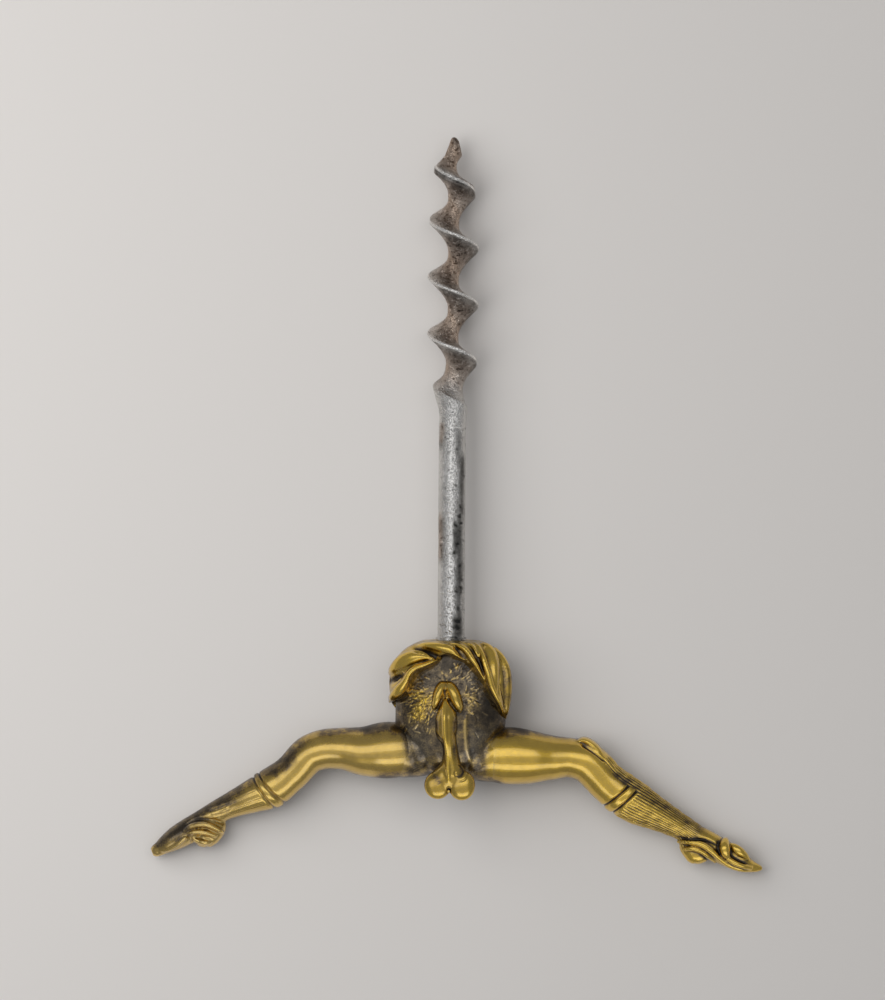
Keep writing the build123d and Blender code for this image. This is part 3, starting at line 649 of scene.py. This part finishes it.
def dress_leg(form, rows, garters, ribs, pleated):
    """Two grooves of the garter with a band between them, and the ribs of the stocking below it."""
    along, across, depth = limb_place(form.points, rows)
    normals = form.normals()
    first, second = limb_place(np.array([(*garter, 0.0) for garter in garters]), rows)[0]
    tilted = along - GARTER_TILT * across
    lift = np.zeros(len(along))
    for place in (first, second):
        lift -= GROOVE_DEPTH * np.exp(-((tilted - place) / GROOVE_WIDTH) ** 2)
    band = ramp(tilted, first, first + BAND_EDGE) * (1 - ramp(tilted, second - BAND_EDGE, second))
    lift += BAND_RISE * band
    pleats = ramp(across, *PLEATS_ACROSS) * pleated
    lift *= 1 - pleats
    shoe = limb_place(np.array([(*rows[SHOE_ROW][:2], 0.0)]), rows)[0][0]
    below = ramp(tilted, second + 0.3, second + 1.0)
    above = pleats * ramp(along, first - 7.0, first - 5.5)
    ribbed = np.maximum(0.8 * below, above) * (1 - ramp(along, shoe - 1.0, shoe + 1.0))
    turn = np.arctan2(depth, across) + 0.03 * np.sin(0.4 * along)
    uneven = 0.75 + 0.5 * np.sin(1.9 * along + 9 * turn) * np.sin(0.8 * along - 5 * turn)
    lift += ribs * ribbed * uneven * (np.abs(np.sin(RIB_PAIRS * turn)) - RIB_SINK)
    form.points = form.points + normals * lift[:, None]


def leg_form(leg, heel, straps, others=()):
    """Leg, heel and straps of one casting."""
    straps = [on_limbs(rows, (leg, heel)) for rows in straps]
    smaller = [limb(rows) for rows in (heel, *others, *straps)]
    form = clay([limb(leg, count=400, sides=64)] + smaller, LEG_VOXEL)
    form.points = form.smooth(3)
    return form


def make_right_leg(material):
    form = leg_form(RIGHT_LEG, RIGHT_HEEL, RIGHT_STRAPS, (KNEE_FLAP,))
    form.draw(RIGHT_STROKES)
    dress_leg(form, RIGHT_LEG, RIGHT_GARTERS, RIGHT_RIBS, True)
    form.rub(base=0.74, depth=2.18, fine=6, broad=40)
    form.paint(form.wear_and_painted_light, RIGHT_SHADES)
    form.haze = 0.7 * (1 - ramp(form.points[:, 0], 5.5, 9.0))
    form.piece("right_leg", "cast_brass", material)


def make_left_leg(material):
    form = leg_form(LEFT_LEG, LEFT_HEEL, LEFT_STRAPS)
    form.draw(LEFT_STROKES)
    dress_leg(form, LEFT_LEG, LEFT_GARTERS, LEFT_RIBS, False)
    form.rub(base=0.74, depth=0.59, fine=6, broad=40)
    form.paint(form.wear_and_painted_light, LEFT_SHADES)
    outward = -form.points[:, 0]
    form.haze = 0.14 + 0.16 * ramp(outward, 34.0, 48.0) + 0.4 * (1 - ramp(outward, 6.0, 9.5))
    form.piece("left_leg", "cast_brass", material)


def make_torso(material):
    buttocks = egg(*BUTTOCK)
    left_hip = [(-x, y + HIP_STEP, *sizes) for x, y, *sizes in HIP]
    lumps = [limb(rows) for rows in (buttocks, mirrored(buttocks), HIP, left_hip)]
    form = clay([limb(TRUNK, count=100, sides=96)] + lumps, TORSO_VOXEL)
    form.points = form.smooth(6)
    form.draw(TORSO_STROKES)
    hair = draw_hair(form)
    form.rub(base=0.38, depth=0.9, fine=4, broad=30)
    form.paint(form.wear_and_painted_light, TORSO_SHADES + hair)
    form.grain = ramp(form.points[:, 1], -16.5, -14.0) * ramp(form.normals()[:, 2], 0.2, 0.6)
    form.haze = np.full(len(form.points), TORSO_HAZE)
    form.paint(form.haze, GROIN_HAZE)
    form.piece("torso", "cast_brass", material)


def draw_hair(form):
    """Short chased strokes on the belly, away from the relief. Returns the shine of the raised ones."""
    random = np.random.default_rng(HAIR_SEED)
    strokes = []
    for middle, spread, count in HAIR_TUFTS:
        for _ in range(count):
            x, y = random.normal(middle, spread)
            lean = math.atan2(y - HAIR_CENTRE[1], x - HAIR_CENTRE[0]) + random.normal(0, 0.5)
            length = random.uniform(*HAIR_LENGTHS)
            end = (x + length * math.cos(lean), y + length * math.sin(lean))
            strokes.append((random.choice(HAIR_HEIGHTS), random.uniform(*HAIR_WIDTHS), [(x, y), end]))
    form.draw(strokes)
    return [(HAIR_SHINE, 1.2 * width, path) for height, width, path in strokes if height > 0]


def make_relief(material):
    lobes = [egg(*lobe) for lobe in (LOBE_LEFT, LOBE_RIGHT, LOBE_LEFT_FACE, LOBE_RIGHT_FACE)]
    form = clay([limb(rows) for rows in (SHAFT, FORK, CAP_LEFT, CAP_RIGHT, CAP_BRIDGE, *lobes)], RELIEF_VOXEL)
    form.points = form.smooth(12)
    form.draw(RELIEF_STROKES)
    form.points = form.smooth(1)
    form.rub(base=0.64, depth=1.3, fine=6, broad=40)
    # Painted shade and painted highlights on the relief.
    form.paint(form.wear_and_painted_light, RELIEF_PAINTED_LIGHT)
    form.piece("front_relief", "cast_brass", material)


def side_of(points, path):
    """Signed distance in the front view from a path that runs left to right, positive above it."""
    line = through([(x, y, 0.0) for x, y in path], 160)[:, :2]
    step = np.gradient(line, axis=0)
    out = np.stack([-step[:, 1], step[:, 0]], 1)
    gap = points[:, None, :2] - line[None]
    nearest = (gap ** 2).sum(2).argmin(1)
    offset = gap[np.arange(len(points)), nearest]
    return np.linalg.norm(offset, axis=1) * np.sign((offset * out[nearest]).sum(1))


def shirt_rows(count):
    return through([(0.0, height, 0.0, half, front, back) for height, half, front, back in SHIRT], count)


def on_cloth(rows):
    """Rows of a fold, carried by the front of the shirt."""
    profile = shirt_rows(200)
    result = []
    for x, y, rise, half_width, half_depth in rows:
        half, front = (np.interp(-y, -profile[:, 1], profile[:, column]) for column in (3, 4))
        height = front * math.sqrt(max(1 - (x / half) ** 2, 0))
        result.append((x, y, height + rise, half_width, half_depth))
    return result


def make_shirt(material):
    """A bag round the torso, sunk where the shirt is open and waved at its back, with folds on its front."""
    turn = np.linspace(0, 2 * np.pi, SHIRT_SIDES, endpoint=False)
    rows = shirt_rows(SHIRT_ROWS)
    depth = np.where(np.sin(turn) > 0, rows[:, 4:5], -rows[:, 5:6]) * np.sin(turn)
    x = rows[:, 3:4] * np.cos(turn)
    y = rows[:, 1:2] * (1 + SHIRT_SLANT * x)
    mesh, _ = skin(np.stack([x, y, depth], 2))
    cloth = Form(mesh)
    normals = cloth.normals()
    front = ramp(normals[:, 2], -0.15, 0.2)
    covered = np.ones(len(cloth.points))
    facing = np.flatnonzero(front > 0)
    covered[facing] = ramp(side_of(cloth.points[facing], SHIRT_OPENING), -0.3, 0.3)
    round_axis = np.arctan2(cloth.points[:, 2], cloth.points[:, 0])
    waves = BACK_WAVE * np.cos(BACK_WAVES * round_axis + 0.3 * cloth.points[:, 1])
    lift = waves * (1 - front) - OPENING_DEPTH * (1 - covered) * front
    move(mesh, cloth.points + normals * lift[:, None])
    form = clay([mesh] + [limb(on_cloth(fold)) for fold in SHIRT_FOLDS], SHIRT_VOXEL)
    form.points = form.smooth(4)
    form.draw(SHIRT_STROKES)
    form.points = form.smooth(3)
    form.rub(base=0.73, depth=0.85, fine=6, broad=50)
    form.paint(form.wear_and_painted_light, SHIRT_SHADES)
    form.piece("shirt", "cast_brass", material)


def shank_pits():
    """Small dark pits, more of them towards the handle."""
    random = np.random.default_rng(PIT_SEED)
    pits = []
    for _ in range(PIT_COUNT):
        x, y = random.normal(0.8, 0.9), PITS_END * random.random() ** 1.8
        width = random.uniform(0.12, 0.3)
        end = (x + random.normal(0, 0.2), y + random.uniform(0.2, 0.9))
        pits.append((-0.3, width, [(x, y), end]))
    return pits


def make_screw(material):
    """Shank and worm as one skin, whose points follow the blade's crest round the axis."""
    foot = np.concatenate([[-1.0, 0.0, 0.02], np.linspace(0.05, 1.2, 12)])
    shank = np.linspace(1.5, SHANK_END, SHANK_ROWS)
    height = np.concatenate([foot, shank, np.linspace(SHANK_END, POINT, WORM_ROWS)[1:]])
    past_shank = height[:, None] - SHANK_END
    share = np.array(BLADE)[:, 0]
    parts = [share[:-1] * (1 - part) + share[1:] * part for part in (0, 0.25, 0.5, 0.75)]
    share = np.sort(np.concatenate(parts))
    rise, blade_wear_and_painted_light, rust = (np.interp(share, *np.array(table).T) for table in (BLADE, BLADE_WEAR_AND_PAINTED_LIGHT, BLADE_RUST))
    places, limits, cores, leans = np.array(WORM_LIMITS).T
    limit, core, lean = (np.interp(height, places, values)[:, None] for values in (limits, cores, leans))
    radius = np.minimum(core + rise * (WORM_RADIUS - core), limit)
    radius = np.where(height[:, None] < SHOULDER_END, SHOULDER_RADIUS, radius)
    crest = np.maximum(height, SHANK_END) - FIRST_CREST
    turn = np.pi + 2 * np.pi * (crest[:, None] / WORM_PITCH - share)
    along = np.broadcast_to(height[:, None], turn.shape)
    lean = lean * ramp(past_shank, *LEAN_BEGINS)
    mesh, place = skin(np.stack([radius * np.cos(turn) + lean, along, radius * np.sin(turn)], 2))
    form = Form(mesh)
    form.draw(SHANK_NOTCH)
    worm = ramp(past_shank, *TONE_BEGINS)
    rusted = ramp(past_shank, *RUST_BEGINS)
    # The worm takes the blade's brightness: worn crests with a painted highlight, and painted shade on the
    # faces towards the handle.
    form.wear_and_painted_light = with_ends(SHANK_WEAR + worm * (blade_wear_and_painted_light - SHANK_WEAR), 0.3, 0.6)[place]
    form.grain = with_ends(rusted * rust, 0.0, 0.5)[place]
    # Stains and pits, with painted shade on the right side and a painted highlight in the middle.
    form.paint(form.wear_and_painted_light, SHANK_STAINS_AND_PAINTED_LIGHT + shank_pits())
    form.paint(form.grain, SHANK_RUST)
    form.piece("steel_screw", "forged_steel", material)


def shader_of(name):
    material = bpy.data.materials.new(name)
    material.use_nodes = True
    return material, material.node_tree, material.node_tree.nodes["Principled BSDF"]


def noise(tree, scale, detail, stretch=(1, 1, 1), ridged=False):
    place = tree.nodes.new("ShaderNodeTexCoord")
    mapping = tree.nodes.new("ShaderNodeMapping")
    mapping.inputs["Scale"].default_value = stretch
    texture = tree.nodes.new("ShaderNodeTexNoise")
    texture.noise_type = "RIDGED_MULTIFRACTAL" if ridged else "FBM"
    texture.inputs["Scale"].default_value = scale
    texture.inputs["Detail"].default_value = detail
    tree.links.new(place.outputs["Object"], mapping.inputs["Vector"])
    tree.links.new(mapping.outputs["Vector"], texture.inputs["Vector"])
    return texture.outputs["Fac"]


def maths(tree, operation, a, b):
    node = tree.nodes.new("ShaderNodeMath")
    node.operation = operation
    for socket, value in zip(node.inputs, (a, b)):
        if isinstance(value, (int, float)):
            socket.default_value = value
        else:
            tree.links.new(value, socket)
    return node.outputs[0]


def colours(tree, factor, stops):
    node = tree.nodes.new("ShaderNodeValToRGB")
    elements = node.color_ramp.elements
    while len(elements) < len(stops):
        elements.new(0.5)
    for element, (place, colour) in zip(elements, stops):
        element.position = place
        element.color = (*colour, 1)
    tree.links.new(factor, node.inputs["Fac"])
    return node.outputs["Color"]


def levels(tree, factor, stops):
    """A ramp of plain levels instead of colours."""
    return colours(tree, factor, [(place, (level, level, level)) for place, level in stops])


def layer_of(tree, name):
    node = tree.nodes.new("ShaderNodeAttribute")
    node.attribute_name = name
    return node.outputs["Fac"]


def bump(tree, shader, height, distance):
    node = tree.nodes.new("ShaderNodeBump")
    node.inputs["Distance"].default_value = distance
    tree.links.new(height, node.inputs["Height"])
    tree.links.new(node.outputs["Normal"], shader.inputs["Normal"])


def swing(tree, texture, amount):
    """Noise about zero."""
    return maths(tree, "MULTIPLY", maths(tree, "SUBTRACT", texture, 0.5), amount)


def blend(tree, factor, first, second):
    mix = tree.nodes.new("ShaderNodeMix")
    mix.data_type = "RGBA"
    tree.links.new(factor, mix.inputs["Factor"])
    tree.links.new(first, mix.inputs["A"])
    tree.links.new(second, mix.inputs["B"])
    return mix.outputs["Result"]


def make_brass():
    """Brass that goes from a dark patina to rubbed metal with its wear, darkened by painted shade and
    brightened by painted highlights from the same layer, golden or greyed by haze.
    """
    material, tree, shader = shader_of("cast brass")
    wear_and_painted_light = layer_of(tree, "wear_and_painted_light")
    freckled = levels(tree, wear_and_painted_light, [(0.1, 0.15), (0.42, 0.5), (0.72, 0.08)])
    calm = levels(tree, wear_and_painted_light, [(0.1, 0.35), (0.42, 0.75), (0.75, 0.22)])
    fine = noise(tree, scale=3600, detail=4)
    strands = swing(tree, noise(tree, scale=900, detail=4, ridged=True), 1.0)
    tuft = maths(tree, "MULTIPLY", strands, layer_of(tree, "grain"))
    total = maths(tree, "ADD", wear_and_painted_light, swing(tree, noise(tree, scale=650, detail=5), calm))
    total = maths(tree, "ADD", total, swing(tree, fine, freckled))
    total = maths(tree, "ADD", total, maths(tree, "MULTIPLY", tuft, 0.2))
    golden = colours(tree, total, BRASS_GOLDEN)
    hazy = colours(tree, total, BRASS_HAZY)
    tree.links.new(blend(tree, layer_of(tree, "haze"), golden, hazy), shader.inputs["Base Color"])
    tree.links.new(levels(tree, total, [(0.15, 0.42), (0.75, 0.26)]), shader.inputs["Roughness"])
    tree.links.new(levels(tree, total, [(0.2, 0.2), (0.8, 0.9)]), shader.inputs["Coat Weight"])
    shader.inputs["Metallic"].default_value = 1
    shader.inputs["Coat Roughness"].default_value = 0.1
    shader.inputs["Coat IOR"].default_value = 1.85
    bump(tree, shader, maths(tree, "ADD", tuft, swing(tree, fine, 0.06)), BUMP_HEIGHT)
    return material


def make_pin_brass():
    material, tree, shader = shader_of("pin brass")
    tree.links.new(colours(tree, noise(tree, scale=900, detail=4), PIN_BRASS), shader.inputs["Base Color"])
    shader.inputs["Metallic"].default_value = 1
    shader.inputs["Roughness"].default_value = 0.4
    return material


def make_steel():
    """Steel that goes from dark pits to bright edges with its wear and painted light, with painted glints in
    its specks, and brown where it is rusted.
    """
    material, tree, shader = shader_of("forged steel")
    wear_and_painted_light = layer_of(tree, "wear_and_painted_light")
    fine = noise(tree, scale=2600, detail=5)
    broken = levels(tree, wear_and_painted_light, [(0.2, 0.5), (0.5, 1.1), (0.78, 0.3)])
    stains = noise(tree, scale=420, detail=8, stretch=(1, 0.5, 1))
    total = maths(tree, "ADD", wear_and_painted_light, swing(tree, stains, broken))
    total = maths(tree, "ADD", total, swing(tree, fine, 0.25))
    speckled = noise(tree, scale=1500, detail=2)
    specks = levels(tree, speckled, [(0.33, 0.0), (0.4, 0.5), (0.58, 0.5), (0.66, 1.0)])
    # Specks paint dark pits and bright painted glints into the colour, strongest on the rusted worm.
    pit_and_painted_glint_amount = maths(tree, "ADD", maths(tree, "MULTIPLY", layer_of(tree, "grain"), 0.55), 0.2)
    total = maths(tree, "ADD", total, swing(tree, specks, pit_and_painted_glint_amount))
    steel = colours(tree, total, STEEL_CLEAN)
    brown = colours(tree, total, STEEL_RUSTED)
    tree.links.new(blend(tree, layer_of(tree, "grain"), steel, brown), shader.inputs["Base Color"])
    tree.links.new(levels(tree, total, [(0.2, 0.45), (0.8, 0.23)]), shader.inputs["Roughness"])
    shader.inputs["Metallic"].default_value = 1
    bump(tree, shader, maths(tree, "ADD", fine, specks), BUMP_HEIGHT)
    return material


def make_camera():
    data = bpy.data.cameras.new("camera")
    data.sensor_width = SENSOR
    data.lens = SENSOR * CAMERA_HEIGHT / IMAGE_HEIGHT
    camera = link(bpy.data.objects.new("camera", data))
    camera.location = Vector((*IMAGE_MIDDLE, CAMERA_HEIGHT)) * MM
    camera.rotation_euler = (0, 0, CAMERA_ROLL)
    bpy.context.scene.camera = camera


def make_light(name, place, target, size, power, turn=0.0):
    """A soft rectangle that faces its target, with its long side turned from the x axis."""
    data = bpy.data.lights.new(name, "AREA")
    data.shape = "RECTANGLE"
    data.size, data.size_y = size
    data.energy = power
    light = link(bpy.data.objects.new(name, data))
    light.location = place
    back = (Vector(place) - Vector(target)).normalized()
    side = Vector((math.cos(turn), math.sin(turn), 0))
    side = (side - back * back.dot(side)).normalized()
    light.rotation_euler = Matrix((side, back.cross(side), back)).transposed().to_euler()
    return light


def make_lights():
    make_light("upper softbox", place=(-0.06, 0.105, 0.58), target=(0, 0, 0), size=(0.94, 0.32), power=0.66,
               turn=math.radians(11))
    lower = make_light("lower softbox", place=(0.09, -0.53, 0.52), target=(0, 0, 0), size=(0.8, 0.29),
                       power=0.78)
    lower.visible_diffuse = False
    make_light("ceiling", place=(-0.05, -0.08, 0.8), target=(-0.05, -0.08, 0), size=(1.1, 0.8), power=0.62)
    panel = make_light("left panel", place=(-0.3, 0.11, 0.31), target=(-0.12, 0.05, 0), size=(0.45, 0.5),
                       power=1.55)
    panel.visible_glossy = False
    world = bpy.data.worlds.new("world")
    bpy.context.scene.world = world
    world.use_nodes = True
    background = world.node_tree.nodes["Background"]
    background.inputs["Color"].default_value = (0.95, 0.97, 1.0, 1)
    background.inputs["Strength"].default_value = 0.27


def make_floor():
    """A plane through both contacts, on which the part lies."""
    (y0, z0), (y1, z1) = TABLE_AT_SHOES, TABLE_AT_WORM
    plane = bmesh.new()
    bmesh.ops.create_grid(plane, x_segments=1, y_segments=1, size=FLOOR_HALF)
    tilt = Matrix.Rotation(math.atan2(z1 - z0, y1 - y0), 4, "X")
    seat = Matrix.Translation(Vector((0, y0, z0)) * MM)
    bmesh.ops.transform(plane, matrix=seat @ tilt, verts=plane.verts)
    material, _, shader = shader_of("floor")
    shader.inputs["Base Color"].default_value = FLOOR_COLOUR
    shader.inputs["Roughness"].default_value = 0.8
    shader.inputs["Specular IOR Level"].default_value = 0.1
    floor = link(bpy.data.objects.new("floor", mesh_of("floor", plane)))
    floor.data.materials.append(material)


def make_pieces():
    brass = make_brass()
    make_screw(make_steel())
    make_torso(brass)
    make_shirt(brass)
    make_relief(brass)
    make_left_leg(brass)
    make_right_leg(brass)
    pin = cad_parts["tang_pin"]
    pin.data.materials.clear()
    pin.data.materials.append(make_pin_brass())


make_pieces()
make_floor()
make_camera()
make_lights()
bpy.context.scene.view_settings.view_transform = "Standard"
